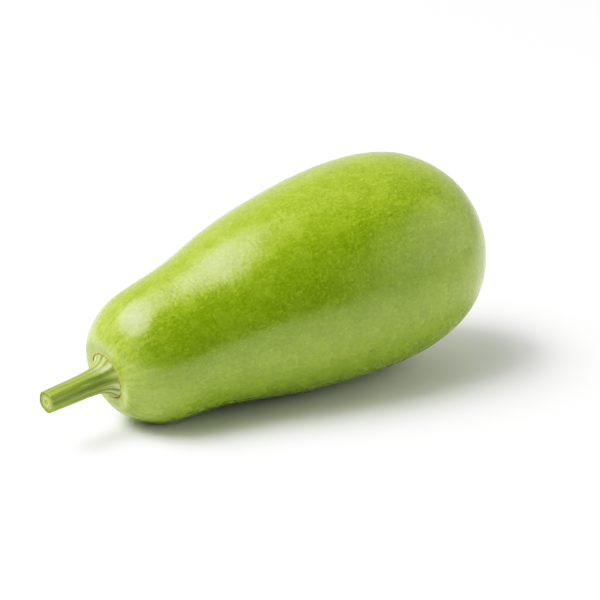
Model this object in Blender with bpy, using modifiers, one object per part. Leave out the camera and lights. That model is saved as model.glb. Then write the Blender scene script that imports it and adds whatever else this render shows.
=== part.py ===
"""A bottle gourd as picked: one grown fruit lying on its side, with its cut stem still on it.

Metres, +Z up. The fruit's axis runs along X, with the stem end towards -X and a little lower than the
blossom end. The origin is on the ground, under the middle of the whole gourd.
"""

import math

import bpy
import numpy as np

# The fruit: its length between the poles, and its radius at seven stations from the stem end to the
# blossom end, evenly spaced in angle round a half circle drawn over the length.
FRUIT_LENGTH = 0.240
STATION_RADII = (0.0250, 0.0375, 0.0445, 0.0555, 0.0590, 0.0525, 0.0310)
ARCH_HEIGHT = 0.0028  # how far the middle of the axis stands off the line between its ends
REST_TILT = math.radians(9.9)  # how far the axis dips towards the stem end as the fruit lies

# The seat that the stem grows from: a flat floor sunk into the blunt end of the fruit.
SEAT_RADIUS = 0.0130
SEAT_DEPTH = 0.0062
CROWN_DEPTH = 0.0052  # where the rounded end stops and the slope down to the seat begins

# The spot that the belly rests on, pressed flat by the fruit's own weight.
GROUND_SPOT_DEPTH = 0.0009

# The stem: five low ribs, swept from a wide foot at the seat to a clean cut, on a line that curls away from
# the fruit's axis.
STEM_LENGTH = 0.0376  # measured along the axis
STEM_LIFT = 0.0050  # how far the cut end stands above the axis as the fruit lies
STEM_SWAY = 0.0057  # how far the cut end stands off the axis towards -Y
STEM_CUT_RADIUS = 0.0060
STEM_NECK_RADIUS = 0.0068  # what the taper alone would give at the foot
STEM_FOOT_RADIUS = 0.0122
FOOT_REACH = 0.0034  # how quickly the foot narrows to the neck
RIB_COUNT = 5
RIB_HEIGHT = 0.055  # share of the radius
SEAT_GAP = 0.0003

# How finely the round shapes are cut.
OUTLINE_POINTS = 46
TURN_STEPS = 64
STEM_RINGS = 14
STEM_SECTION_POINTS = 40


def clear_scene():
    for obj in list(bpy.data.objects):
        bpy.data.objects.remove(obj, do_unlink=True)


def new_collection(name):
    collection = bpy.data.collections.new(name)
    bpy.context.scene.collection.children.link(collection)
    return collection


def principled(name, colour, roughness, metallic=0.0):
    material = bpy.data.materials.new(name)
    material.use_nodes = True
    shader = material.node_tree.nodes["Principled BSDF"]
    shader.inputs["Base Color"].default_value = (*colour, 1.0)
    shader.inputs["Roughness"].default_value = roughness
    shader.inputs["Metallic"].default_value = metallic
    return material


def fruit_outline():
    """Points (radius, height) down the outer side of the upright fruit, from the blossom pole to the seat.

    The radius is a sum of sines of the station angle, the one smooth curve through the seven stations that
    is round at both poles.
    """
    orders = np.arange(1, len(STATION_RADII) + 1)
    intervals = len(STATION_RADII) + 1
    waves = np.sin(np.outer(orders, orders) * np.pi / intervals)
    weights = 2.0 / intervals * waves @ np.array(STATION_RADII)

    crown_angle = math.acos(1.0 - 2.0 * CROWN_DEPTH / FRUIT_LENGTH)
    angles = np.linspace(np.pi, crown_angle, OUTLINE_POINTS)
    radii = np.sin(np.outer(angles, orders)) @ weights
    radii[0] = 0.0
    heights = -FRUIT_LENGTH / 2 * np.cos(angles)
    seat_height = SEAT_DEPTH - FRUIT_LENGTH / 2
    return [*zip(radii, heights), (SEAT_RADIUS, seat_height), (0.0, seat_height)]


def bend_rate():
    """Radians of bend for each metre along the axis, which gives the arch its height."""
    return 8.0 * ARCH_HEIGHT / FRUIT_LENGTH**2


def build_fruit(collection, parent):
    """The outline turned about the upright axis and then bent, so that both ends droop."""
    points = [(float(radius), 0.0, float(height)) for radius, height in fruit_outline()]
    mesh = bpy.data.meshes.new("fruit")
    mesh.from_pydata(points, [(i, i + 1) for i in range(len(points) - 1)], [])
    fruit = bpy.data.objects.new("fruit", mesh)
    collection.objects.link(fruit)
    fruit.parent = parent

    turn = fruit.modifiers.new("Turn", "SCREW")
    turn.axis = "Z"
    turn.steps = TURN_STEPS
    turn.render_steps = TURN_STEPS
    turn.use_merge_vertices = True
    turn.merge_threshold = 0.0001
    turn.use_smooth_shade = True

    arch = fruit.modifiers.new("Arch", "SIMPLE_DEFORM")
    arch.deform_method = "BEND"
    arch.deform_axis = "Y"
    arch.angle = bend_rate() * (FRUIT_LENGTH - SEAT_DEPTH)

    mesh.materials.append(principled("gourd_skin", (0.36, 0.56, 0.07), 0.38))
    return fruit


def ribbed_section():
    """One closed outline of unit mean radius with low rounded ribs, for the stem to be swept from."""
    curve = bpy.data.curves.new("stem_section", "CURVE")
    curve.dimensions = "2D"
    ring = curve.splines.new("POLY")
    ring.points.add(STEM_SECTION_POINTS - 1)
    ring.use_cyclic_u = True
    for i, point in enumerate(ring.points):
        angle = -2.0 * math.pi * i / STEM_SECTION_POINTS
        radius = 1.0 + RIB_HEIGHT * math.cos(RIB_COUNT * angle)
        point.co = (radius * math.cos(angle), radius * math.sin(angle), 0.0, 1.0)
    return bpy.data.objects.new("stem_section", curve)


def stem_radius(distance):
    """The mean radius at a distance from the seat: an even taper, with a foot that flares out at the seat."""
    taper = STEM_NECK_RADIUS + (STEM_CUT_RADIUS - STEM_NECK_RADIUS) * distance / STEM_LENGTH
    flare = (STEM_FOOT_RADIUS / (1.0 + RIB_HEIGHT) - STEM_NECK_RADIUS) * math.exp(-distance / FOOT_REACH)
    return taper + flare


def build_stem(collection, guides, parent):
    """The ribbed section swept down from the seat, with rings closer together where the foot flares."""
    section = ribbed_section()
    guides.objects.link(section)
    section.hide_render = True

    curve = bpy.data.curves.new("stem", "CURVE")
    curve.dimensions = "3D"
    curve.bevel_mode = "OBJECT"
    curve.bevel_object = section
    curve.use_fill_caps = True
    path = curve.splines.new("POLY")
    path.points.add(STEM_RINGS)
    for i, point in enumerate(path.points):
        distance = STEM_LENGTH * (i / STEM_RINGS) ** 2
        curl = (distance / STEM_LENGTH) ** 2
        point.co = (-STEM_LIFT * curl, -STEM_SWAY * curl, -distance, 1.0)
        point.radius = stem_radius(distance)

    stem = bpy.data.objects.new("stem", curve)
    collection.objects.link(stem)
    stem.parent = parent
    seat_angle = bend_rate() * (SEAT_DEPTH - FRUIT_LENGTH / 2)
    seat_x = (1.0 - math.cos(seat_angle)) / bend_rate()
    seat_z = math.sin(seat_angle) / bend_rate()
    stem.location = (
        seat_x - SEAT_GAP * math.sin(seat_angle),
        0.0,
        seat_z - SEAT_GAP * math.cos(seat_angle),
    )
    stem.rotation_euler = (0.0, seat_angle, 0.0)
    curve.materials.append(principled("gourd_stem", (0.27, 0.44, 0.08), 0.55))
    return stem


def world_points(obj):
    """The object's evaluated vertices in world space, one row each."""
    graph = bpy.context.evaluated_depsgraph_get()
    evaluated = obj.evaluated_get(graph)
    mesh = evaluated.to_mesh()
    points = np.array([evaluated.matrix_world @ vertex.co for vertex in mesh.vertices])
    evaluated.to_mesh_clear()
    return points


def settle(pose, pieces):
    """Lays the gourd down: centred over the origin, with its belly just below the ground."""
    bpy.context.view_layer.update()
    points = np.concatenate([world_points(piece) for piece in pieces])
    low, high = points.min(axis=0), points.max(axis=0)
    pose.location.x -= (low[0] + high[0]) / 2
    pose.location.z -= low[2] + GROUND_SPOT_DEPTH
    bpy.context.view_layer.update()


def flatten_ground_spot(fruit, cutters):
    """Takes off what lies below the ground, which leaves the flat spot that the belly rests on."""
    bpy.ops.mesh.primitive_cube_add(size=FRUIT_LENGTH, location=(0.0, 0.0, -FRUIT_LENGTH / 2))
    ground = bpy.context.active_object
    ground.name = "ground_cutter"
    for owner in list(ground.users_collection):
        owner.objects.unlink(ground)
    cutters.objects.link(ground)
    ground.hide_render = True
    ground.display_type = "WIRE"

    cut = fruit.modifiers.new("GroundSpot", "BOOLEAN")
    cut.operation = "DIFFERENCE"
    cut.solver = "EXACT"
    cut.object = ground


def build_gourd():
    clear_scene()
    parts = new_collection("bottle_gourd")
    cutters = new_collection("cutters")

    pose = bpy.data.objects.new("pose", None)
    parts.objects.link(pose)
    pose.rotation_euler = (0.0, math.pi / 2 - REST_TILT, 0.0)

    fruit = build_fruit(parts, pose)
    stem = build_stem(parts, cutters, pose)
    settle(pose, (fruit, stem))
    flatten_ground_spot(fruit, cutters)


build_gourd()
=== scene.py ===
"""The looks of a bottle gourd lying on a pale floor: its skin, its stem and a soft studio round them.

Every size is in metres. The fruit is worked out upright in its own frame, with its axis along Z and its
stem end down, and is then bent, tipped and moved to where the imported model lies.
"""

import logging
import math
from dataclasses import dataclass, field
from enum import Enum

import bpy
import numpy as np
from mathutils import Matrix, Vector


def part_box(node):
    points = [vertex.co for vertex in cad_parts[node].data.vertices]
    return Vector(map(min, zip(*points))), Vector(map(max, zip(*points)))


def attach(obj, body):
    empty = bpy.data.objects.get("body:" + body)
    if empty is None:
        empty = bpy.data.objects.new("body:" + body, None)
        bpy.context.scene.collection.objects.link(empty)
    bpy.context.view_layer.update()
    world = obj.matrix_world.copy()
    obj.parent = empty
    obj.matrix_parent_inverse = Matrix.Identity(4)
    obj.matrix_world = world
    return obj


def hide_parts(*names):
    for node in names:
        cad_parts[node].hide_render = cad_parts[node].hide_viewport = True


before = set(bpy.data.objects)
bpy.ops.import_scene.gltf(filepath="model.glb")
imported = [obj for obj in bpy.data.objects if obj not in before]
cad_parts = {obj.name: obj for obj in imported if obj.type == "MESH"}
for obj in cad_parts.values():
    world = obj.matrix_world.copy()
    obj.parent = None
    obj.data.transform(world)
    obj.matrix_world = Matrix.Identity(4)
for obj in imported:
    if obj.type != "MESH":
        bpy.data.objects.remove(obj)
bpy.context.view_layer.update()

log = logging.getLogger("bottle_gourd")

Colour = tuple[float, float, float]
Way = tuple[float, float, float]
Pair = tuple[float, float]
Array = np.ndarray
Socket = bpy.types.NodeSocket

# Large odd factors, which scatter the bits of a lattice point's coordinates and of a seed.
POINT_SCATTER = np.array([73856093, 19349663, 83492791])
SEED_SCATTER = 2654435761


# ----------------------------------------
# Numbers and noise
# ----------------------------------------


def smooth_step(low: float, high: float, value: Array) -> Array:
    """Rise from 0 at low to 1 at high along the cubic 3 s^2 - 2 s^3.

    Args:
        low: where the rise starts.
        high: where the rise ends; it may lie below low, for a fall.
        value: the values to read the rise at.

    Returns:
        The height of the rise at each value.
    """
    share = np.clip((value - low) / (high - low), 0.0, 1.0)
    return share * share * (3.0 - 2.0 * share)


def bell(value: Array, place: float | Array, reach: float | Array) -> Array:
    """A bell curve, exp(-s^2), where s is the distance from its place as a share of its reach."""
    return np.exp(-(((value - place) / reach) ** 2))


def together(*parts: float | Array) -> Array:
    """Spread arrays over one another's shapes and stack them along a new last axis."""
    return np.stack(np.broadcast_arrays(*parts), axis=-1)


def unit_circle(turn: Array) -> Array:
    """Points of the unit circle in the plane of X and Y, one row for each angle."""
    return together(np.cos(turn), np.sin(turn), 0.0)


def full_turn(columns: int) -> Array:
    """Angles spread evenly over one full turn, without its end."""
    return 2.0 * math.pi * np.arange(columns) / columns


def lattice_noise(points: Array, size: float, seed: int) -> Array:
    """Smooth noise from -1 to 1: random heights on a cubic lattice, blended with smooth steps.

    Each lattice point gets its height from a hash of its three whole-number coordinates. A point between
    eight of them takes their mean, weighted by the cubic step of its distance along each axis.

    Args:
        points: places to read the noise at, one row of three numbers each.
        size: the spacing of the lattice.
        seed: picks one noise out of many.

    Returns:
        One height for each row.
    """
    scaled = points / size
    corner = np.floor(scaled).astype(np.int64)
    share = smooth_step(0.0, 1.0, scaled - corner)
    total = np.zeros(len(points))
    for step in np.ndindex(2, 2, 2):
        mixed = np.bitwise_xor.reduce((corner + np.array(step)) * POINT_SCATTER, axis=1) ^ seed * SEED_SCATTER
        mixed = (mixed ^ (mixed >> 13)) * 1274126177 & 0x7FFFFFFF
        mixed = (mixed ^ (mixed >> 15)) & 0xFFFFF
        height = mixed / 0x7FFFF - 1.0
        total += height * np.prod(np.where(np.array(step) == 1, share, 1.0 - share), axis=1)
    return total


def rough_noise(points: Array, size: float, seed: int, layers: int = 3) -> Array:
    """Layers of lattice noise, each at half the size and half the height of the one before.

    Args:
        points: places to read the noise at, one row of three numbers each.
        size: the spacing of the coarsest layer.
        seed: picks one noise out of many.
        layers: how many layers are added up.

    Returns:
        One height for each row, from about -1 to 1.
    """
    total = np.zeros(len(points))
    for layer in range(layers):
        total += lattice_noise(points, size / 2**layer, seed + layer) / 2**layer
    return total / (2.0 - 2.0 ** (1 - layers))


# ----------------------------------------
# Meshes
# ----------------------------------------


def tube_mesh(name: str, points: Array, patterns: dict[str, Array]) -> bpy.types.Object:
    """A closed skin over a grid of rings, with a single point closing it at each end.

    The grid's rows are rings and its columns run round them. The first and the last ring are gathered to
    their mean point, and every other pair of neighbouring rings is joined by four-sided faces.

    Args:
        name: name of the new object.
        points: rows by columns by three, in the row frame.
        patterns: attributes for the materials, each rows by columns by three.

    Returns:
        The new object, shaded smooth, with the map OFBake and one attribute for each pattern.
    """
    rows, columns = points.shape[:2]
    body = points[1:-1].reshape(-1, 3)
    first, last = len(body), len(body) + 1
    vertices = np.vstack([body, points[0].mean(axis=0), points[-1].mean(axis=0)])

    column = np.arange(columns)
    after = (column + 1) % columns
    ring = (np.arange(rows - 3) * columns)[:, None]
    end = (rows - 3) * columns
    quads = together(ring + column, ring + after, ring + columns + after, ring + columns + column)
    start_fan = together(after, column, first)
    end_fan = together(end + column, end + after, last)
    faces = quads.reshape(-1, 4).tolist() + start_fan.tolist() + end_fan.tolist()

    mesh = bpy.data.meshes.new(name)
    mesh.from_pydata(vertices, [], faces)

    across, beyond = column / columns, (column + 1) / columns
    middle = (across + beyond) / 2.0
    edge = 1.0 / (rows - 1)
    low = (np.arange(1, rows - 2) / (rows - 1))[:, None]
    uv = np.concatenate([
        together(across, low, beyond, low, beyond, low + edge, across, low + edge).reshape(-1),
        together(beyond, edge, across, edge, middle, 0.0).reshape(-1),
        together(across, 1.0 - edge, beyond, 1.0 - edge, middle, 1.0).reshape(-1)])
    mesh.uv_layers.new(name="OFBake").data.foreach_set("uv", uv.astype(np.float32))
    for key, grid in patterns.items():
        values = np.vstack([grid[1:-1].reshape(-1, 3), grid[0].mean(axis=0), grid[-1].mean(axis=0)])
        mesh.attributes.new(key, "FLOAT_VECTOR", "POINT").data.foreach_set(
            "vector", values.reshape(-1).astype(np.float32))
    mesh.shade_smooth()
    mesh.validate()

    piece = bpy.data.objects.new(name, mesh)
    bpy.context.scene.collection.objects.link(piece)
    return piece


def outward(points: Array) -> Array:
    """Unit normals of a grid of rings: the cross product of the steps along the columns and the rows.

    Args:
        points: rows by columns by three.

    Returns:
        One unit vector for each grid point, pointing away from the axis.
    """
    along = np.gradient(points, axis=0)
    around = (np.roll(points, -1, axis=1) - np.roll(points, 1, axis=1)) / 2.0
    normal = np.cross(around, along)
    length = np.linalg.norm(normal, axis=-1, keepdims=True)
    return normal / np.maximum(length, 1e-12)


# ----------------------------------------
# Shader building
# ----------------------------------------


class Nodes:
    """A short way to place shader nodes in a tree and join their sockets."""

    def __init__(self, tree: bpy.types.NodeTree) -> None:
        """Take hold of the tree that new nodes go into."""
        self.tree = tree

    def add(self, kind: str, settings: dict | None = None, **inputs: object) -> bpy.types.Node:
        """Place one node.

        Args:
            kind: the node's type name, without the word ShaderNode in front.
            settings: properties to set on the node.
            inputs: socket names, with _ for a space, and the value or the socket that feeds each.

        Returns:
            The new node.
        """
        name = kind if kind.startswith("NodeGroup") else "ShaderNode" + kind
        node = self.tree.nodes.new(name)
        for key, value in (settings or {}).items():
            setattr(node, key, value)
        for key, value in inputs.items():
            self.feed(node, key.replace("_", " "), value)
        return node

    def feed(self, node: bpy.types.Node, key: str, value: object) -> None:
        """Give a socket a value or link it to the socket passed; the key is its name, or # and its number."""
        socket = node.inputs[int(key[1:])] if key.startswith("#") else node.inputs[key]
        if isinstance(value, Socket):
            self.tree.links.new(value, socket)
        elif socket.type == "RGBA" and isinstance(value, tuple):
            socket.default_value = (*value, 1.0)
        else:
            socket.default_value = value

    def feed_all(self, node: bpy.types.Node, *values: object) -> None:
        """Give a node's sockets their values in order."""
        for number, value in enumerate(values):
            self.feed(node, f"#{number}", value)

    def math(self, operation: str, first: object, second: object, clamp: bool = False) -> Socket:
        """Work out one operation on two values."""
        node = self.add("Math", {"operation": operation, "use_clamp": clamp})
        self.feed_all(node, first, second)
        return node.outputs[0]

    def plus(self, first: object, second: object) -> Socket:
        """The sum of two values."""
        return self.math("ADD", first, second)

    def times(self, first: object, second: object) -> Socket:
        """The product of two values."""
        return self.math("MULTIPLY", first, second)

    def rise(self, value: object, span: Pair, heights: Pair = (0.0, 1.0)) -> Socket:
        """Map a value smoothly from the span onto the heights at its two ends."""
        node = self.add("MapRange", {"interpolation_type": "SMOOTHSTEP"})
        self.feed_all(node, value, *span, *heights)
        return node.outputs[0]

    def noise(self, vector: object, scale: float) -> Socket:
        """Read fractal noise from 0 to 1 at a vector."""
        return self.add("TexNoise", Vector=vector, Scale=scale, Detail=2.0).outputs[0]

    def push(self, vector: object, noise: bpy.types.Node, reach: object) -> Socket:
        """Move a vector by a noise node's colour times the reach."""
        drift = self.add("VectorMath", {"operation": "SCALE"})
        self.feed(drift, "#0", noise.outputs[1])
        self.feed(drift, "#3", reach)
        moved = self.add("VectorMath", {"operation": "ADD"})
        self.feed_all(moved, vector, drift.outputs[0])
        return moved.outputs[0]

    def dot(self, first: object, second: object) -> Socket:
        """The dot product of two vectors."""
        node = self.add("VectorMath", {"operation": "DOT_PRODUCT"})
        self.feed_all(node, first, second)
        return node.outputs["Value"]

    def split(self, vector: object) -> tuple[Socket, ...]:
        """The x, y and z of a vector."""
        node = self.add("SeparateXYZ")
        self.feed_all(node, vector)
        return tuple(node.outputs)

    def attribute(self, name: str) -> Socket:
        """Read the mesh's vector attribute of this name."""
        return self.add("Attribute", {"attribute_name": name}).outputs["Vector"]

    def mix(self, share: object, first: object, second: object) -> Socket:
        """Blend two colours, the second by its share."""
        node = self.add("Mix", {"data_type": "RGBA", "clamp_factor": True})
        self.feed(node, "#0", share)
        self.feed(node, "#6", first)
        self.feed(node, "#7", second)
        return node.outputs[2]

    def cover(self, below: object, tint: object, mask: object, share: object) -> Socket:
        """Lay a tint over a colour by a mask times a share."""
        return self.mix(self.times(mask, share), below, tint)


class Effect(Enum):
    """The effects that are made once, as shader node groups, and placed in the materials."""

    MOTTLE = "mottle"
    FLECKS = "flecks"
    FIBRES = "fibres"


def new_group(
        effect: Effect, floats: dict[str, float],
        outputs: tuple[str, ...]) -> tuple[Nodes, dict[str, Socket], bpy.types.Node]:
    """Start a node group with a Vector input, float inputs and float outputs.

    Args:
        effect: the group's name.
        floats: names and starting values of the float inputs.
        outputs: names of the float outputs.

    Returns:
        The node placer for the group, its input sockets by name, and its output node.
    """
    tree = bpy.data.node_groups.new(effect.value, "ShaderNodeTree")
    tree.interface.new_socket("Vector", in_out="INPUT", socket_type="NodeSocketVector")
    for name, value in floats.items():
        tree.interface.new_socket(name, in_out="INPUT", socket_type="NodeSocketFloat").default_value = value
    for name in outputs:
        tree.interface.new_socket(name, in_out="OUTPUT", socket_type="NodeSocketFloat")
    nodes = Nodes(tree)
    entry = nodes.add("NodeGroupInput")
    leaving = nodes.add("NodeGroupOutput")
    return nodes, {socket.name: socket for socket in entry.outputs}, leaving


def build_mottle() -> None:
    """Soft clouds, and a finer grain whose place the clouds' colours push about."""
    grain_fineness = 7.0
    nodes, given, leaving = new_group(Effect.MOTTLE, {"Scale": 100.0, "Warp": 0.3}, ("Clouds", "Grain"))
    coarse = nodes.add(
        "TexNoise", Vector=given["Vector"], Scale=given["Scale"], Detail=3.0, Roughness=0.55)
    nodes.feed(leaving, "Clouds", coarse.outputs[0])
    moved = nodes.push(given["Vector"], coarse, nodes.math("DIVIDE", given["Warp"], given["Scale"]))
    finer = nodes.times(given["Scale"], grain_fineness)
    fine = nodes.add("TexNoise", Vector=moved, Scale=finer, Detail=2.0, Roughness=0.6)
    nodes.feed(leaving, "Grain", fine.outputs[0])


def build_flecks() -> None:
    """Scattered round dots: a share of the cells of a Voronoi pattern, each with its own size."""
    nodes, given, leaving = new_group(
        Effect.FLECKS, {"Scale": 200.0, "Share": 0.1, "Size": 0.2}, ("Mask",))
    cells = nodes.add(
        "TexVoronoi", {"feature": "F1"}, Vector=given["Vector"], Scale=given["Scale"], Randomness=1.0)
    chosen = nodes.add("SeparateColor")
    nodes.feed_all(chosen, cells.outputs["Color"])
    kept = nodes.math("LESS_THAN", chosen.outputs[0], given["Share"])
    reach = nodes.times(given["Size"], nodes.plus(chosen.outputs[1], 0.5))
    spot = nodes.math("SUBTRACT", 1.0, nodes.math("DIVIDE", cells.outputs["Distance"], reach), clamp=True)
    nodes.feed(leaving, "Mask", nodes.times(nodes.rise(spot, (0.0, 0.6)), kept))


def build_fibres() -> None:
    """Streaks: noise read at a vector whose Z is stretched apart from its X and Y."""
    nodes, given, leaving = new_group(
        Effect.FIBRES, {"Around": 20.0, "Along": 10.0, "Detail": 3.0}, ("Streaks",))
    x, y, z = nodes.split(given["Vector"])
    stretched = nodes.add("CombineXYZ")
    nodes.feed_all(
        stretched, nodes.times(x, given["Around"]), nodes.times(y, given["Around"]),
        nodes.times(z, given["Along"]))
    streaks = nodes.add(
        "TexNoise", Vector=stretched.outputs[0], Scale=1.0, Detail=given["Detail"], Roughness=0.55)
    nodes.feed(leaving, "Streaks", streaks.outputs[0])


def place_effect(nodes: Nodes, effect: Effect, vector: object, **values: float) -> bpy.types.Node:
    """Place a shared effect in a material with its own values, and return its node."""
    return nodes.add("Group", {"node_tree": bpy.data.node_groups[effect.value]}, Vector=vector, **values)


def new_material(name: str) -> tuple[bpy.types.Material, Nodes, bpy.types.Node]:
    """Start a material and return it with its node placer and its Principled shader."""
    material = bpy.data.materials.new(name)
    material.use_nodes = True
    return material, Nodes(material.node_tree), material.node_tree.nodes["Principled BSDF"]


# ----------------------------------------
# The fruit
# ----------------------------------------


@dataclass
class Lie:
    """How the upright shape is bent, tipped over and set down in the row frame."""

    length: float = 0.240
    arch_height: float = 0.0028
    tilt: float = math.radians(9.9)
    shift: Array = field(default_factory=lambda: np.zeros(3))

    @property
    def bend_rate(self) -> float:
        """Radians of bend for each metre along the axis."""
        return 8.0 * self.arch_height / self.length**2

    def set_down(self, points: Array) -> Array:
        """Bend, tip and move points.

        The bend carries the axis round a circle of radius 1 / bend_rate, so a point at height z turns by
        z * bend_rate about the circle's centre. The tip turns the axis from upright to nearly level.

        Args:
            points: any array whose last axis is x, y, z in the upright frame.

        Returns:
            The points in the row frame, in an array of the same shape.
        """
        rate = self.bend_rate
        angle = points[..., 2] * rate
        x = (points[..., 0] - 1.0 / rate) * np.cos(angle) + 1.0 / rate
        z = -(points[..., 0] - 1.0 / rate) * np.sin(angle)
        turn = math.pi / 2.0 - self.tilt
        level = together(
            x * math.cos(turn) + z * math.sin(turn), points[..., 1], z * math.cos(turn) - x * math.sin(turn))
        return level + self.shift


@dataclass(frozen=True)
class SkinFinish:
    """The tender rind: yellow-green, softly glossy, mottled, streaked pale and matt round the stem.

    A span is where a smooth rise starts and ends. A share is how far one colour covers the one below it.
    Painted shade darkens the side of the rind that faces the camera towards the deep green.
    """

    name: str = "gourd_skin"
    green: Colour = (0.188, 0.266, 0.003)
    light: Colour = (0.268, 0.358, 0.038)
    # deep green of the darker clouds and grain, and also the tint of the painted shade
    deep_green_and_shade: Colour = (0.130, 0.192, 0.001)
    pale: Colour = (0.350, 0.420, 0.120)
    cork: Colour = (0.230, 0.120, 0.038)
    speck: Colour = (0.050, 0.070, 0.008)
    scar: Colour = (0.170, 0.125, 0.045)
    cloud_span: Pair = (0.35, 0.68)
    green_share: float = 0.80
    # painted shade: the rind darkens where its normal faces this way, the side towards the camera, part under
    # the speckle and part over it
    painted_shade_way: Way = (-0.32, -0.86, 0.40)
    painted_shade_span: Pair = (0.83, 0.98)
    painted_shade_below: float = 0.32
    painted_shade_above: float = 0.28
    belly_span: Pair = (-0.80, -0.40)
    belly_grain: float = 0.10
    weave_share: float = 0.55
    weave_bend: float = 0.05
    lighter_span: Pair = (0.47, 0.68)
    deeper_span: Pair = (0.51, 0.30)
    ray_span: Pair = (0.44, 0.68)
    ray_reach: Pair = (0.075, 0.012)
    ray_strength: float = 0.55
    ray_halo: float = 0.5
    ray_share: float = 0.75
    swath_span: Pair = (0.50, 0.66)
    swath_reach: Pair = (0.034, 0.006)
    swath_share: float = 0.75
    halo_share: float = 0.46
    fleck_share: float = 0.16
    speck_share: float = 0.75
    gloss_span: Pair = (0.3, 0.7)
    roughness: Pair = (0.20, 0.31)
    cork_roughness: float = 0.4
    halo_roughness: float = 0.35
    shine: float = 0.80
    ripple_bend: float = 0.006
    peel_share: float = 0.6
    speck_depth: float = 0.6
    relief_strength: float = 0.60
    relief_height: float = 0.00017

    def build(self) -> bpy.types.Material:
        """Build the material: colour in layers, then roughness, then the fine relief of the rind."""
        material, nodes, shader = new_material(self.name)
        around = nodes.add("TexCoord").outputs
        place, normal = around["Object"], around["Normal"]
        grain = nodes.attribute("grain")
        cork, halo, scar = nodes.split(nodes.attribute("marks"))
        upper = nodes.rise(nodes.split(normal)[2], self.belly_span, (self.belly_grain, 1.0))
        mottle = place_effect(nodes, Effect.MOTTLE, place, Scale=95.0, Warp=0.35)
        flecks = place_effect(nodes, Effect.FLECKS, place, Scale=170.0, Share=0.07, Size=0.17)
        specks = place_effect(nodes, Effect.FLECKS, place, Scale=62.0, Share=0.16, Size=0.045)

        # painted shade: a darker band where the normal faces the painted shade way, towards the camera
        painted_shade = nodes.rise(nodes.dot(normal, self.painted_shade_way), self.painted_shade_span)
        bends = nodes.add("TexNoise", Vector=place, Scale=110.0, Detail=2.0)
        bent = nodes.push(grain, bends, self.weave_bend)
        weave = place_effect(nodes, Effect.FIBRES, bent, Around=60.0, Along=380.0, Detail=5.0)
        speckle = nodes.plus(
            nodes.times(mottle.outputs["Grain"], 1.0 - self.weave_share),
            nodes.times(weave.outputs["Streaks"], self.weave_share))
        colour = nodes.mix(nodes.rise(mottle.outputs["Clouds"], self.cloud_span), self.deep_green_and_shade, self.light)
        colour = nodes.mix(self.green_share, colour, self.green)
        # first part of the painted shade, laid under the speckle
        colour = nodes.cover(colour, self.deep_green_and_shade, painted_shade, self.painted_shade_below)
        colour = nodes.cover(colour, self.light, nodes.rise(speckle, self.lighter_span), upper)
        colour = nodes.cover(colour, self.deep_green_and_shade, nodes.rise(speckle, self.deeper_span), upper)
        # second part of the painted shade, laid over the speckle
        colour = nodes.cover(colour, self.deep_green_and_shade, painted_shade, self.painted_shade_above)
        colour = self.pale_marks(nodes, colour, grain, halo)
        colour = nodes.cover(colour, self.pale, flecks.outputs["Mask"], self.fleck_share)
        colour = nodes.cover(colour, self.speck, specks.outputs["Mask"], self.speck_share)
        colour = nodes.mix(cork, colour, self.cork)
        nodes.feed(shader, "Base Color", nodes.mix(scar, colour, self.scar))

        shader.inputs["Specular IOR Level"].default_value = self.shine
        gloss = nodes.rise(mottle.outputs["Clouds"], self.gloss_span, self.roughness)
        gloss = nodes.plus(gloss, nodes.times(cork, self.cork_roughness))
        gloss = nodes.plus(gloss, nodes.times(halo, self.halo_roughness))
        nodes.feed(shader, "Roughness", gloss)

        bends = nodes.add("TexNoise", Vector=place, Scale=70.0, Detail=1.0)
        bent = nodes.push(grain, bends, self.ripple_bend)
        ripple = place_effect(nodes, Effect.FIBRES, bent, Around=11.0, Along=620.0, Detail=2.0)
        peel = nodes.times(nodes.noise(place, 520.0), self.peel_share)
        pits = nodes.times(specks.outputs["Mask"], -self.speck_depth)
        height = nodes.plus(nodes.plus(peel, ripple.outputs["Streaks"]), pits)
        strength = nodes.times(upper, self.relief_strength)
        bump = nodes.add("Bump", Strength=strength, Distance=self.relief_height, Height=height)
        nodes.feed(shader, "Normal", bump.outputs[0])
        return material

    def pale_marks(self, nodes: Nodes, colour: Socket, grain: Socket, halo: Socket) -> Socket:
        """Lay the pale rays, the broad swaths and the halo round the stem over the rind.

        Args:
            nodes: the material's node placer.
            colour: the rind's colour so far.
            grain: the place on the skin, whose Z is the distance gone from the middle of the seat.
            halo: how close to the stem the skin is.

        Returns:
            The colour with the pale marks on it.
        """
        travel = nodes.split(grain)[2]
        fibres = place_effect(nodes, Effect.FIBRES, grain, Around=17.0, Along=42.0, Detail=4.0)
        streaks = nodes.rise(fibres.outputs["Streaks"], self.ray_span)
        near = nodes.plus(
            nodes.rise(travel, self.ray_reach, (0.0, self.ray_strength)), nodes.times(halo, self.ray_halo))
        colour = nodes.cover(colour, self.pale, nodes.times(near, streaks), self.ray_share)
        broad = place_effect(nodes, Effect.FIBRES, grain, Around=6.5, Along=14.0, Detail=2.0)
        swath = nodes.rise(broad.outputs["Streaks"], self.swath_span)
        close = nodes.rise(travel, self.swath_reach, (0.0, self.swath_share))
        colour = nodes.mix(nodes.times(close, swath), colour, self.pale)
        return nodes.cover(colour, self.pale, halo, self.halo_share)


@dataclass(frozen=True)
class Swell:
    """A stretch of the fruit that is a little fuller or slimmer, and a little lifted or lowered."""

    place: float
    reach: float
    growth: float
    lift: float


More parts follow.
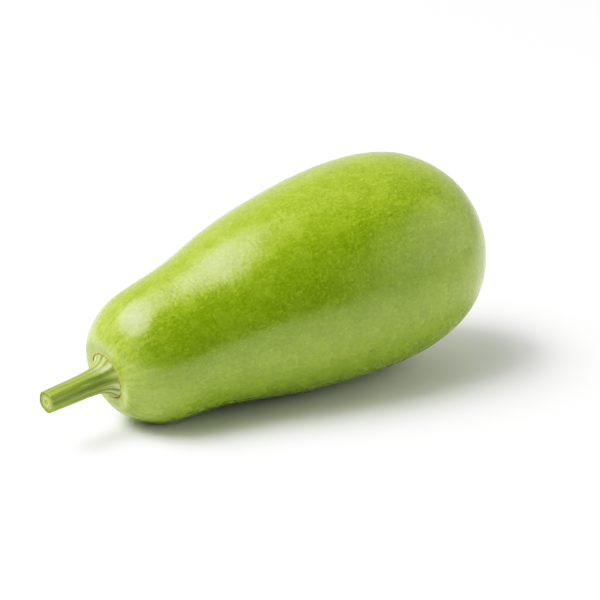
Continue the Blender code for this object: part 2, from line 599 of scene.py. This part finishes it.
@dataclass
class Fruit:
    """The grown fruit: a round shape turned on a bent axis, with a seat for the stem and a blossom scar."""

    lie: Lie
    finish: SkinFinish
    station_radii: tuple[float, ...] = (0.0250, 0.0375, 0.0445, 0.0555, 0.0590, 0.0525, 0.0310)
    seat_depth: float = 0.0062
    seat_rim_depth: float = 0.0054
    seat_radius: float = 0.0130
    seat_lean: Pair = (0.041, 0.082)
    lean_reach: Pair = (0.0400, 0.0130)
    crown_radius: float = 0.0200
    crown_softness: float = 0.0010
    swells: tuple[Swell, ...] = (
        Swell(-0.095, 0.012, 0.0004, -0.0001),
        Swell(-0.067, 0.016, -0.0004, 0.0003),
        Swell(-0.030, 0.024, 0.0010, 0.0008),
        Swell(0.021, 0.020, -0.0004, 0.0002),
        Swell(0.068, 0.020, 0.0004, -0.0003),
        Swell(0.106, 0.022, 0.0001, -0.0016),
    )
    swell_radius: float = 0.03
    lumps: tuple[tuple[float, float, int], ...] = (
        (0.0009, 0.075, 11), (0.00022, 0.020, 21), (0.000035, 0.0045, 31))
    seat_calm: float = 0.7
    calm_reach: float = 0.014
    crease_height: float = 0.00030
    crease_radius: float = 0.0165
    crease_reach: float = 0.0055
    cork_radius: float = 0.0127
    cork_width: float = 0.00050
    cork_height: float = 0.00030
    cork_waver: Pair = (0.00045, 0.00022)
    cork_unevenness: float = 0.00045
    halo_radius: float = 0.0130
    halo_reach: float = 0.0052
    halo_waver: float = 0.0022
    scar_radius: float = 0.0034
    scar_waver: float = 0.0006
    scar_rim_width: float = 0.0008
    scar_rim_height: float = 0.00035
    scar_depth: float = 0.0011
    scar_reach: float = 0.0070
    sag: float = 0.0014
    sag_place: float = -0.068
    sag_reach: float = 0.024
    sag_heights: Pair = (0.0060, 0.0012)
    columns: int = 320
    row_radii: tuple[float, ...] = (0.0105, 0.0145, 0.0300)
    row_counts: tuple[int, ...] = (14, 26, 46)
    body_rows: int = 210
    first_angle: float = 0.001

    def outline(self, angle: Array) -> Array:
        """Radius at each station angle: the sum of sines that passes through the seven station radii."""
        orders = np.arange(1, len(self.station_radii) + 1)
        intervals = len(self.station_radii) + 1
        waves = np.sin(np.outer(orders, orders) * np.pi / intervals)
        weights = 2.0 / intervals * waves @ np.array(self.station_radii)
        return np.clip(np.sin(np.outer(angle, orders)) @ weights, 0.0, None)

    def angles(self) -> Array:
        """Station angles of the rows from the seat to the far pole, closest together at the cork ring."""
        fine = np.linspace(self.first_angle, math.pi / 2, 4000)[:1500]
        ends = np.interp(self.row_radii, self.outline(fine), fine)
        stretches = zip((self.first_angle, *ends), ends, self.row_counts)
        near = [np.linspace(start, end, rows, endpoint=False) for start, end, rows in stretches]
        return np.concatenate([*near, np.linspace(ends[-1], math.pi, self.body_rows)])

    def plain(self, bare: bool = False) -> tuple[Array, Array, Array]:
        """The smooth shape before any relief.

        The height follows a cosine of the station angle. Near the stem it is the smooth maximum of that dome
        and the sunk seat, a flat floor that rises by a smooth step to the crown round it. Seat and crown lean
        over together, by a slope in x and y that fades out over the shoulder.

        Args:
            bare: leave the swells and the lean out.

        Returns:
            The points of the grid in the upright frame, the radius of each row, and the angle of each column.
        """
        angle = self.angles()
        radius = self.outline(angle)
        dome = self.lie.length / 2.0 * (1.0 - np.cos(angle))
        rise = smooth_step(self.crown_radius, self.seat_radius, radius)
        floor = self.seat_rim_depth + (self.seat_depth - self.seat_rim_depth) * rise
        depth = (dome + floor + np.sqrt((dome - floor) ** 2 + self.crown_softness**2)) / 2.0
        depth = np.where(radius < self.seat_radius, np.maximum(floor, dome), depth)
        depth = np.where(angle > math.pi / 4, dome, depth)
        turn = full_turn(self.columns)
        height = depth - self.lie.length / 2.0
        growth, lift = np.zeros_like(height), np.zeros_like(height)
        for swell in () if bare else self.swells:
            share = bell(height, swell.place, swell.reach)
            growth += swell.growth * share
            lift += swell.lift * share
        full = (radius + growth * np.minimum(radius / self.swell_radius, 1.0))[:, None]
        x, y = full * np.cos(turn), full * np.sin(turn)
        lean = (smooth_step(*self.lean_reach, radius) * (height < 0.0) * (not bare))[:, None]
        slope = self.seat_lean[0] * x + self.seat_lean[1] * y
        points = together(x - lift[:, None], y, height[:, None] - lean * slope)
        return points, radius, turn

    def land(self) -> None:
        """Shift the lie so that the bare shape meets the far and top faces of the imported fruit's box."""
        low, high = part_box("fruit")
        self.lie.shift = np.zeros(3)
        placed = self.lie.set_down(self.plain(bare=True)[0])
        self.lie.shift = np.array([
            high.x - placed[..., 0].max(), (low.y + high.y) / 2.0, high.z - placed[..., 2].max()])

    def relief(self, points: Array, radius: Array, turn: Array) -> tuple[Array, Array]:
        """Height of the skin above the smooth shape, and the masks of cork, halo and scar.

        Slow lumps and a finer unevenness are noise in space. Creases run out from the seat and die away over
        the crown. The cork ring is a thin ridge at a wavering radius, and the halo fades outwards from it.
        The blossom scar is a small dimple with a raised rim at the far pole.

        Args:
            points: the smooth grid in the upright frame.
            radius: the radius of each row.
            turn: the angle of each column.

        Returns:
            The height of each grid point, and rows by columns by three masks.
        """
        flat = points.reshape(-1, 3)
        height = sum(rise * rough_noise(flat, size, seed, 2) for rise, size, seed in self.lumps)
        height = height.reshape(points.shape[:2])

        circle = unit_circle(turn)
        stem_end = (points[..., 2] < 0.0)[:, :1]
        near = stem_end * radius[:, None]
        calm = 1.0 - self.seat_calm * bell(near, 0.0, self.calm_reach) * stem_end
        fade = bell(near, self.crease_radius, self.crease_reach) * stem_end
        height = height * calm + self.crease_height * rough_noise(circle, size=0.30, seed=41, layers=2) * fade

        slow, quick = self.cork_waver
        waver = slow * rough_noise(circle, size=0.22, seed=51)
        waver = waver + quick * rough_noise(circle, size=0.07, seed=55, layers=2)
        width = self.cork_width + self.cork_unevenness * rough_noise(circle * 1.7, size=0.10, seed=61)
        ridge = bell(near, self.cork_radius + waver, width) * stem_end
        height = height + self.cork_height * ridge
        broken = smooth_step(-0.55, -0.1, rough_noise(circle, size=0.09, seed=71))
        cork = np.clip(1.25 * ridge * broken, 0.0, 1.0)

        halo_reach = self.halo_reach + self.halo_waver * rough_noise(circle, size=0.35, seed=81)
        halo = np.exp(-((np.maximum(near - self.halo_radius, 0.0) / halo_reach) ** 1.5)) * stem_end

        far = np.where(stem_end, 1.0, radius[:, None])
        scar_edge = self.scar_radius + self.scar_waver * rough_noise(circle, size=0.4, seed=91)
        rim = bell(far, scar_edge, self.scar_rim_width)
        height = height - self.scar_depth * bell(far, 0.0, self.scar_reach) + self.scar_rim_height * rim
        scar = np.clip(0.9 * rim + 0.55 * (far < scar_edge), 0.0, 1.0)
        return height, together(cork, halo, scar)

    def rest(self, placed: Array) -> Array:
        """Press the underside onto the floor.

        Below the shoulder the skin lowers by up to the sag, fading with height and with distance along X, and
        whatever would lie below the floor stops at it.

        Args:
            placed: the grid in the row frame.

        Returns:
            The grid with its underside flat where it touches.
        """
        along = bell(placed[..., 0], self.sag_place, self.sag_reach)
        placed[..., 2] -= self.sag * along * smooth_step(*self.sag_heights, placed[..., 2])
        placed[..., 2] = np.maximum(placed[..., 2], 0.0)
        return placed

    def build(self) -> bpy.types.Object:
        """Build the fruit's mesh and dress it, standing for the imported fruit."""
        self.land()
        points, radius, turn = self.plain()
        height, marks = self.relief(points, radius, turn)
        points = points + outward(points) * height[..., None]
        placed = self.rest(self.lie.set_down(points))

        step = np.linalg.norm(np.diff(together(radius, points[:, 0, 2]), axis=0), axis=-1)
        travel = np.concatenate([[0.0], np.cumsum(step)])
        grain = together(np.cos(turn), np.sin(turn), travel[:, None])
        piece = tube_mesh("gourd_fruit", placed, {"grain": grain, "marks": marks})
        piece.data.materials.append(self.finish.build())
        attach(piece, "root")
        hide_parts("fruit")
        return piece


# ----------------------------------------
# The stem
# ----------------------------------------


@dataclass(frozen=True)
class StemFinish:
    """The cut stem: light ribs, dark grooves, pale tendons on the foot, and a moist pale cut face."""

    name: str = "gourd_stem"
    rib: Colour = (0.245, 0.292, 0.050)
    groove: Colour = (0.108, 0.164, 0.026)
    tendon: Colour = (0.520, 0.560, 0.330)
    flesh: Colour = (0.200, 0.240, 0.036)
    pith: Colour = (0.330, 0.360, 0.130)
    cut_rim: Colour = (0.120, 0.165, 0.006)
    roughness: float = 0.50
    roughness_change: Pair = (-0.06, 0.08)
    rib_share: float = 0.68
    patch_share: float = 0.38
    thread_span: Pair = (0.52, 0.74)
    thread_share: float = 0.35
    vein_span: Pair = (0.34, 0.62)
    vein_floor: float = 0.20
    pith_span: Pair = (0.42, 0.78)
    rim_span: Pair = (0.66, 0.86)
    vessel_outside: Pair = (0.52, 0.44)
    vessel_inside: Pair = (0.26, 0.34)
    hollow_span: Pair = (0.10, 0.05)
    fine_share: float = 0.35
    relief_strength: float = 0.6
    relief_height: float = 0.00025

    def build(self) -> bpy.types.Material:
        """Build the material from the marks: x is the rib, y the tendon and z the place on the cut face."""
        material, nodes, shader = new_material(self.name)
        place = nodes.add("TexCoord").outputs["Object"]
        grain = nodes.attribute("grain")
        rib, tendon, face = nodes.split(nodes.attribute("marks"))
        patches = place_effect(nodes, Effect.FIBRES, grain, Around=5.0, Along=45.0, Detail=5.0)
        threads = place_effect(nodes, Effect.FIBRES, grain, Around=14.0, Along=90.0, Detail=3.0)
        thread = threads.outputs["Streaks"]

        patchy = nodes.rise(patches.outputs["Streaks"], (0.3, 0.7), (0.0, self.patch_share))
        light = nodes.math("ADD", nodes.times(rib, self.rib_share), patchy, clamp=True)
        colour = nodes.mix(light, self.groove, self.rib)
        pale = nodes.rise(thread, self.thread_span, (0.0, self.thread_share))
        colour = nodes.mix(pale, colour, self.tendon)
        veins = nodes.times(tendon, nodes.rise(thread, self.vein_span, (self.vein_floor, 1.0)))
        colour = nodes.mix(veins, colour, self.tendon)

        wet = nodes.mix(nodes.rise(nodes.noise(place, 900.0), self.pith_span), self.flesh, self.pith)
        wet = nodes.mix(nodes.rise(face, self.rim_span), wet, self.cut_rim)
        vessels = nodes.times(nodes.rise(face, self.vessel_outside), nodes.rise(face, self.vessel_inside))
        wet = nodes.mix(vessels, wet, self.pith)
        wet = nodes.mix(nodes.rise(face, self.hollow_span), wet, self.pith)
        on_face = nodes.math("LESS_THAN", face, 1.0)
        nodes.feed(shader, "Base Color", nodes.mix(on_face, colour, wet))

        dull = tuple(self.roughness + change for change in self.roughness_change)
        nodes.feed(shader, "Roughness", nodes.rise(thread, (0.3, 0.7), dull))
        height = nodes.plus(thread, nodes.times(nodes.noise(place, 1400.0), self.fine_share))
        bump = nodes.add("Bump", Strength=self.relief_strength, Distance=self.relief_height, Height=height)
        nodes.feed(shader, "Normal", bump.outputs[0])
        return material


@dataclass
class Stem:
    """The length of stem left on the fruit: ribs swept from a wide foot in the seat to a clean cut."""

    lie: Lie
    finish: StemFinish
    seat_depth: float
    seat_lean: Pair
    length: float = 0.0376
    cut_radius: float = 0.0060
    neck_radius: float = 0.0068
    foot_radius: float = 0.0121
    foot_reach: float = 0.0034
    root_depth: float = 0.0010
    rim_round: float = 0.00045
    tip_rise: float = 0.0022
    tip_sway: float = 0.0026
    ribs: int = 5
    rib_start: float = 0.6
    rib_sway: float = 0.35
    rib_height: float = 0.040
    veins: int = 13
    vein_height: float = 0.034
    fold_height: float = 0.016
    foot_folds: float = 0.035
    fold_reach: float = 0.006
    tendon_reach: float = 0.0065
    face_sag: float = 0.00022
    vessel_place: float = 0.40
    vessel_width: float = 0.08
    vessel_height: float = 0.00022
    hollow_width: float = 0.12
    hollow_depth: float = 0.00030
    saw_height: float = 0.00006
    columns: int = 300
    side_rows: int = 190
    dense_length: float = 0.012
    rim_rows: int = 6
    face_rows: int = 44

    def mean_radius(self, distance: Array) -> Array:
        """An even taper from the neck to the cut, plus a foot that falls off exponentially from the seat."""
        taper = self.neck_radius + (self.cut_radius - self.neck_radius) * distance / self.length
        foot = np.exp(-np.maximum(distance, 0.0) / self.foot_reach)
        return taper + (self.foot_radius - self.neck_radius) * foot

    def section(self, distance: Array, turn: Array) -> tuple[Array, Array]:
        """Radius as a share of the mean, and how far up a rib each point is.

        Broad ribs are a cosine of a few turns and fine ones a cosine of many, spread unevenly. Both sway a
        little along the length. Finer folds, which the foot has more of, are noise on the circle that changes
        slowly along the stem.

        Args:
            distance: the distance of each row from the seat.
            turn: the angle of each column.

        Returns:
            The radius factors and the rib heights from 0 to 1, both rows by columns.
        """
        sway = self.rib_sway * np.sin(distance / self.length * 2.2 + self.rib_start)[:, None]
        broad = 0.5 + 0.5 * np.cos(self.ribs * turn + sway)
        spread = self.veins * turn + 0.9 * np.sin(2.0 * turn + 0.5) + 2.0 * sway
        crest = 0.35 * broad + 0.65 * (0.5 + 0.5 * np.cos(spread)) ** 0.8
        spots = together(np.cos(turn), np.sin(turn), 11.0 * distance[:, None])
        folds = rough_noise(spots.reshape(-1, 3), size=0.34, seed=101).reshape(crest.shape)
        foot = np.exp(-np.maximum(distance, 0.0) / self.fold_reach)[:, None]
        ribbed = self.rib_height * (broad - 0.5) + self.vein_height * (crest - 0.5) * (1.0 - 0.3 * foot)
        return 1.0 + ribbed + (self.fold_height + self.foot_folds * foot) * folds, crest

    def bend(self, radius: Array, height: Array, turn: Array) -> Array:
        """Carry a straight stem onto its curled line.

        The line leaves the seat square to it. From there it moves off by a straight slope plus a power of the
        share of the length gone. Each ring stands square to the line, on two unit vectors: the part of X that
        is square to the line's direction, and that vector's cross product with the direction.

        Args:
            radius: distance of each point from the line.
            height: distance of each point from the seat along the line.
            turn: the angle of each column.

        Returns:
            The points in the upright frame.
        """
        share = np.clip(height, 0.0, None) / self.length
        lean_up, lean_side = self.seat_lean
        up = lean_up * height + self.tip_rise * share**1.5 + 0.5 * self.tip_sway * share**2
        side = lean_side * height + self.tip_sway * share**2
        up_slope = lean_up + (1.5 * self.tip_rise * share**0.5 + self.tip_sway * share) / self.length
        side_slope = lean_side + 2.0 * self.tip_sway * share / self.length
        line = together(-up, -side, self.seat_depth - self.lie.length / 2.0 - height)
        heading = together(-up_slope, -side_slope, -1.0)
        heading /= np.linalg.norm(heading, axis=-1, keepdims=True)
        first = np.array([1.0, 0.0, 0.0]) - heading * heading[..., :1]
        first /= np.linalg.norm(first, axis=-1, keepdims=True)
        second = np.cross(first, heading)
        out, over = (radius * np.cos(turn))[..., None], (radius * np.sin(turn))[..., None]
        return line + out * first + over * second

    def build(self) -> bpy.types.Object:
        """Build the stem's mesh and dress it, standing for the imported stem.

        Rows run up the side, round the rim of the cut by a quarter circle, and in over the cut face to its
        centre. The face sags towards a raised ring of vessels round a small hollow.
        """
        turn = full_turn(self.columns)
        lower_rows = self.side_rows // 2
        shoulder = self.length - self.rim_round
        side = np.concatenate([
            np.linspace(-self.root_depth, self.dense_length, lower_rows, endpoint=False),
            np.linspace(self.dense_length, shoulder, self.side_rows - lower_rows)])
        share, crest = self.section(side, turn)
        side_radius = self.mean_radius(side)[:, None] * share

        corner = np.linspace(0.0, math.pi / 2, self.rim_rows + 1)[1:, None]
        edge = side_radius[-1] - self.rim_round
        rim_radius = edge + self.rim_round * np.cos(corner)
        rim_height = shoulder + self.rim_round * np.sin(corner)

        inward = np.linspace(1.0, 0.0, self.face_rows)[1:, None]
        sag = smooth_step(1.0, 0.75, inward)
        vessel = bell(inward, self.vessel_place, self.vessel_width)
        hollow = bell(inward, 0.0, self.hollow_width)
        saw = together(inward * np.cos(turn), inward * np.sin(turn), 0.3)
        rough = rough_noise(saw.reshape(-1, 3), size=0.22, seed=111).reshape(saw.shape[:2])
        face_height = (
            self.length - self.face_sag * sag + self.vessel_height * vessel - self.hollow_depth * hollow
            + self.saw_height * rough * sag)

        radius = np.vstack([side_radius, rim_radius, inward * edge])
        parts = (side[:, None], rim_height, face_height)
        height = np.vstack([np.broadcast_to(part, (len(part), self.columns)) for part in parts])
        points = self.bend(radius, height, turn)

        strong = np.clip(0.55 + 0.9 * rough_noise(unit_circle(turn), size=0.30, seed=121, layers=2), 0.1, 1.0)
        foot = np.exp(-np.clip(side, 0.0, None) / self.tendon_reach)[:, None]
        on_side = together(crest, foot * smooth_step(0.35, 0.85, crest) * strong, 1.0)
        on_rim = np.broadcast_to(on_side[-1], (self.rim_rows, self.columns, 3))
        on_face = together(crest[-1], 0.0, 0.995 * inward)
        marks = np.concatenate([on_side, on_rim, on_face])
        grain = together(np.cos(turn), np.sin(turn), height)

        placed = self.lie.set_down(points[:, ::-1])
        piece = tube_mesh("gourd_stem", placed, {"grain": grain[:, ::-1], "marks": marks[:, ::-1]})
        piece.data.materials.append(self.finish.build())
        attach(piece, "root")
        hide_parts("stem")
        return piece


# ----------------------------------------
# The studio
# ----------------------------------------


@dataclass(frozen=True)
class FloorFinish:
    """A plain, pale, matt floor."""

    name: str = "studio_floor"
    colour: Colour = (0.86, 0.86, 0.855)
    dimmest: float = 0.985
    roughness: float = 0.9
    shine: float = 0.2

    def build(self) -> bpy.types.Material:
        """Build the floor's material, with a trace of unevenness in its paint."""
        material, nodes, shader = new_material(self.name)
        shader.inputs["Roughness"].default_value = self.roughness
        shader.inputs["Specular IOR Level"].default_value = self.shine
        place = nodes.add("TexCoord").outputs["Object"]
        dim = tuple(self.dimmest * part for part in self.colour)
        nodes.feed(shader, "Base Color", nodes.mix(nodes.noise(place, 6.0), dim, self.colour))
        return material


@dataclass
class Studio:
    """A white floor and surround, a wide key light with a bright core, a low fill light, and the camera.

    Azimuths are turned from the camera's line of sight, except the camera's own. A way is how far to the
    right of, away from and above the camera's stand something lies.
    """

    azimuth: float = math.radians(-31.9)
    elevation: float = math.radians(23.0)
    distance: float = 1.06
    lens: float = 116.44
    sensor: float = 36.0
    shift_x: float = 0.0155
    shift_y: float = -0.0020
    aim_height: float = 0.050
    floor_side: float = 24.0
    floor_drop: float = 0.0003
    light_distance: float = 2.5
    key_azimuth: float = math.radians(-99.0)
    key_elevation: float = math.radians(56.0)
    key_size: Pair = (3.4, 2.3)
    key_power: float = 48.0
    core_size: Pair = (2.1, 1.25)
    core_power: float = 64.0
    side_azimuth: float = math.radians(95.0)
    side_elevation: float = math.radians(7.0)
    side_power: float = 14.0
    band_span: Pair = (0.72, 0.42)
    band_strength: float = 0.79
    gap_way: Way = (0.42, -0.90, 0.22)
    gap_span: Pair = (0.985, 0.48)
    panel_way: Way = (1.0, -0.07, 0.28)
    panel_span: Pair = (0.70, 0.92)
    panel_strength: float = 1.36
    ceiling_way: Way = (-0.25, 0.85, 0.55)
    ceiling_span: Pair = (0.20, 0.75)
    ceiling_strength: float = 0.55
    seen_strength: float = 1.6
    tone: tuple[Pair, ...] = (
        (0.05, 0.026), (0.10, 0.072), (0.20, 0.200), (0.30, 0.344), (0.40, 0.480), (0.50, 0.598),
        (0.60, 0.695), (0.80, 0.850), (1.00, 0.950), (1.20, 0.995), (1.50, 1.000))

    def level(self, right: float, away: float, up: float) -> Vector:
        """Turn a way into a direction in the row frame."""
        c, s = math.cos(self.azimuth), math.sin(self.azimuth)
        return Vector((right * c - away * s, right * s + away * c, up))

    def target(self) -> Vector:
        """The middle of the fruit, at the height that the camera aims at."""
        low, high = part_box("fruit")
        return Vector(((low.x + high.x) / 2.0, 0.0, self.aim_height))

    def aim(self, thing: bpy.types.Object, direction: Vector, distance: float) -> None:
        """Stand a camera or a lamp off the gourd in a direction, facing it."""
        thing.location = self.target() + direction * distance
        thing.rotation_euler = (-direction).to_track_quat("-Z", "Y").to_euler()
        bpy.context.scene.collection.objects.link(thing)

    def build_camera(self) -> None:
        """Place the camera on the line of sight and make it the scene's."""
        data = bpy.data.cameras.new("camera")
        data.lens = self.lens
        data.sensor_width = self.sensor
        data.shift_x = self.shift_x
        data.shift_y = self.shift_y
        camera = bpy.data.objects.new("camera", data)
        back = self.level(0.0, -math.cos(self.elevation), math.sin(self.elevation))
        self.aim(camera, back, self.distance)
        bpy.context.scene.camera = camera

    def build_floor(self) -> None:
        """Lay the floor just under the gourd."""
        half, drop = self.floor_side / 2.0, -self.floor_drop
        corners = [(-half, -half, drop), (half, -half, drop), (half, half, drop), (-half, half, drop)]
        mesh = bpy.data.meshes.new("floor")
        mesh.from_pydata(corners, [], [(0, 1, 2, 3)])
        mesh.materials.append(FloorFinish().build())
        floor = bpy.data.objects.new("floor", mesh)
        bpy.context.scene.collection.objects.link(floor)

    def soft_light(
            self, name: str, azimuth: float, elevation: float, size: Pair, power: float,
            mirrored: bool = True) -> None:
        """Hang an oval light that faces the gourd.

        Args:
            name: the light's name.
            azimuth: its angle off the line of sight.
            elevation: its angle above the floor.
            size: its width and height.
            power: its power in watts.
            mirrored: whether glossy skin shows its reflection.
        """
        data = bpy.data.lights.new(name, "AREA")
        data.shape = "ELLIPSE"
        data.size, data.size_y = size
        data.energy = power
        lamp = bpy.data.objects.new(name, data)
        lamp.visible_glossy = mirrored
        flat = math.cos(elevation)
        direction = self.level(flat * math.sin(azimuth), flat * math.cos(azimuth), math.sin(elevation))
        self.aim(lamp, direction, self.light_distance)

    def build_surround(self) -> None:
        """Make the surround: a band round the horizon, a bright panel at the right and a dim ceiling.

        The band's brightness falls smoothly with height, and again towards a gap at the front. The panel and
        the ceiling fade out round their directions, and the brightest of the three holds. The eye sees plain
        white.
        """
        world = bpy.data.worlds.new("surround")
        world.use_nodes = True
        bpy.context.scene.world = world
        nodes = Nodes(world.node_tree)
        world.node_tree.nodes.clear()
        ray = nodes.add("TexCoord").outputs["Generated"]

        def towards(direction: Vector) -> Socket:
            """The cosine of the angle between a ray and a direction."""
            return nodes.dot(ray, tuple(direction.normalized()))

        band = nodes.rise(towards(Vector((0.0, 0.0, 1.0))), self.band_span)
        gap = nodes.rise(towards(self.level(*self.gap_way)), self.gap_span)
        back = nodes.times(nodes.times(band, gap), self.band_strength)
        panel = nodes.rise(towards(self.level(*self.panel_way)), self.panel_span, (0.0, self.panel_strength))
        ceiling = nodes.rise(
            towards(self.level(*self.ceiling_way)), self.ceiling_span, (0.0, self.ceiling_strength))
        strength = nodes.math("MAXIMUM", nodes.math("MAXIMUM", back, panel), ceiling)
        lit = nodes.add("Background", Color=(1.0, 1.0, 1.0), Strength=strength)
        seen = nodes.add("Background", Color=(1.0, 1.0, 1.0), Strength=self.seen_strength)
        both = nodes.add("MixShader")
        nodes.feed_all(both, nodes.add("LightPath").outputs["Is Camera Ray"], lit.outputs[0], seen.outputs[0])
        nodes.feed(nodes.add("OutputWorld"), "Surface", both.outputs[0])

    def set_tone(self) -> None:
        """Give the picture a print's contrast: shadows a little deeper, highlights eased towards white."""
        view = bpy.context.scene.view_settings
        view.view_transform = "Standard"
        view.use_curve_mapping = True
        mapping = view.curve_mapping
        brightest = self.tone[-1][0]
        mapping.white_level = (brightest,) * 3
        curve = mapping.curves[3]
        curve.points[-1].location = (1.0, self.tone[-1][1])
        for light, shown in self.tone[:-1]:
            curve.points.new(light / brightest, shown)
        mapping.update()

    def build(self) -> None:
        """Set up the camera, the floor, the surround and the lights."""
        self.build_camera()
        self.build_floor()
        self.build_surround()
        self.soft_light("key", self.key_azimuth, self.key_elevation, self.key_size, self.key_power)
        self.soft_light("key_core", self.key_azimuth, self.key_elevation, self.core_size, self.core_power)
        self.soft_light(
            "side", self.side_azimuth, self.side_elevation, self.core_size, self.side_power, mirrored=False)
        self.set_tone()


def main() -> None:
    """Build the gourd and the studio in order, and report each piece."""
    logging.basicConfig(level=logging.INFO, format="%(name)s: %(message)s")
    for build_effect in (build_mottle, build_flecks, build_fibres):
        build_effect()
    studio = Studio()
    studio.build()
    lie = Lie()
    fruit = Fruit(lie, SkinFinish())
    for piece in (fruit.build(), Stem(lie, StemFinish(), fruit.seat_depth, fruit.seat_lean).build()):
        log.info("%s: %d faces", piece.name, len(piece.data.polygons))
    bpy.context.view_layer.update()


if __name__ == "__main__":
    main()
